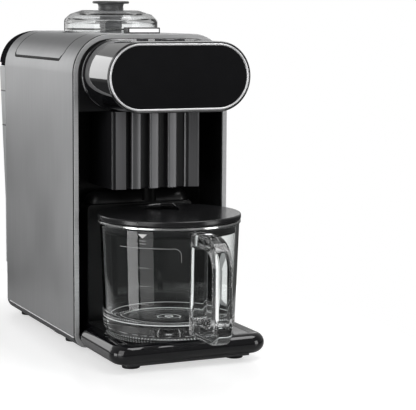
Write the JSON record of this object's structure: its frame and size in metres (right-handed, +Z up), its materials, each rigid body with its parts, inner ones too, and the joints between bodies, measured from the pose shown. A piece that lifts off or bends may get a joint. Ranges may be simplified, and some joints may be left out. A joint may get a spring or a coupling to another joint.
{
  "type": "soy milk maker",
  "caption": "Countertop soy milk maker with an overhanging head, ribbed spout cover, clear jug on a drip tray, lidded grinding chamber and a rear water tank.",
  "frame": {"origin": "middle of the footprint's box on the table, with the jug and tank in place", "axes": "+Z up, +Y from the jug's handle to the water tank, +X to the right seen from the front"},
  "size_m": [0.17, 0.424, 0.3565],
  "materials": {
    "satin_metal": "satin, fine vertical brushing",
    "recess_black": "satin",
    "pan_grey": "satin",
    "gloss_black": "high gloss",
    "bright_ring": "polished",
    "ribbed_black": "satin",
    "lid_black": "satin",
    "key_grey": "satin",
    "clear_glass": "clear, polished",
    "clear_plastic": "clear, polished",
    "smoked_plastic": "smoked, clear",
    "knob_grey": "satin",
    "foot_rubber": "matt",
    "seal_rubber": "matt",
    "steel": "bright",
    "inner_plastic": "matt",
    "inner_metal": "cast",
    "board_green": "lacquered"
  },
  "bodies": {
    "housing": {"side_shell": "satin_metal", "top_cover": "satin_metal", "front_trim": "satin_metal", "recess_liner": "recess_black", "recess_panel": "recess_black", "tank_bay": "recess_black", "rear_cover": "recess_black", "base_pan": "pan_grey", "head_shell": "gloss_black", "front_plate": "gloss_black", "control_panel": "gloss_black", "head_ring": "bright_ring", "spout_cover": "ribbed_black", "interlock_post": "lid_black", "rubber_feet": "foot_rubber", "shaft_seal": "seal_rubber", "milk_tube": "seal_rubber", "suction_tube": "seal_rubber", "feed_tube": "seal_rubber", "chamber_cup": "steel", "foot_screws": "steel", "motor_screws": "steel", "motor_bearings": "steel", "motor_stator": "steel", "chamber_base": "inner_plastic", "chamber_collar": "inner_plastic", "spout_nozzle": "inner_plastic", "outlet_valve": "inner_plastic", "valve_solenoid": "inner_plastic", "motor_deck": "inner_plastic", "tank_socket": "inner_plastic", "water_pump": "inner_plastic", "power_inlet": "inner_plastic", "key_switches": "inner_plastic", "motor_housing": "inner_metal", "band_heater": "inner_metal", "main_board": "board_green", "control_board": "board_green"},
    "rotor": {"drive_shaft": "steel", "rotor_core": "steel", "cooling_fan": "inner_plastic", "grinding_blade": "steel", "blade_nut": "steel"},
    "chamber_lid": {"lid_dome": "clear_plastic", "lid_knob": "knob_grey", "lid_seal": "seal_rubber", "knob_screw": "knob_grey"},
    "tank": {"water_tank": "smoked_plastic", "tank_outlet": "inner_plastic"},
    "tank_lid": {"tank_lid": "gloss_black"},
    "jug": {"jug_glass": "clear_glass", "jug_handle": "clear_plastic"},
    "jug_lid": {"jug_lid": "lid_black", "jug_lid_seal": "foot_rubber"},
    "tray": {"drip_tray": "gloss_black", "drip_plate": "gloss_black"},
    "start_key": {"start_key": "key_grey"},
    "menu_key_1": {"menu_key_1": "key_grey"},
    "menu_key_2": {"menu_key_2": "key_grey"},
    "menu_key_3": {"menu_key_3": "key_grey"}
  },
  "joints": [
    {"name": "rotor_spin", "type": "hinge", "parent": "housing", "child": "rotor", "pos_m": [0, 0.08, 0.12], "axis": [0, 0, 1], "continuous": true},
    {"name": "chamber_lid_lift", "type": "slide", "parent": "housing", "child": "chamber_lid", "axis": [0, 0, 1], "range_m": [0, 0.1]},
    {"name": "tank_pull", "type": "slide", "parent": "housing", "child": "tank", "axis": [0, 1, 0], "range_m": [0, 0.09]},
    {"name": "tank_lid_hinge", "type": "hinge", "parent": "tank", "child": "tank_lid", "pos_m": [0, 0.2095, 0.285], "axis": [-1, 0, 0], "range_deg": [0, 75]},
    {"name": "jug_pull", "type": "slide", "parent": "housing", "child": "jug", "axis": [0, -1, 0], "range_m": [0, 0.2]},
    {"name": "jug_lid_turn", "type": "hinge", "parent": "jug", "child": "jug_lid", "pos_m": [0, -0.081, 0.143], "axis": [0, 0, 1], "range_deg": [0, 45]},
    {"name": "tray_pull", "type": "slide", "parent": "housing", "child": "tray", "axis": [0, -1, 0], "range_m": [0, 0.12]},
    {"name": "start_key_press", "type": "slide", "parent": "housing", "child": "start_key", "axis": [0, 0, -1], "range_m": [0, 0.001], "stiffness_N_per_m": 400},
    {"name": "menu_key_1_press", "type": "slide", "parent": "housing", "child": "menu_key_1", "axis": [0, 0, -1], "range_m": [0, 0.001], "stiffness_N_per_m": 400},
    {"name": "menu_key_2_press", "type": "slide", "parent": "housing", "child": "menu_key_2", "axis": [0, 0, -1], "range_m": [0, 0.001], "stiffness_N_per_m": 400},
    {"name": "menu_key_3_press", "type": "slide", "parent": "housing", "child": "menu_key_3", "axis": [0, 0, -1], "range_m": [0, 0.001], "stiffness_N_per_m": 400}
  ]
}
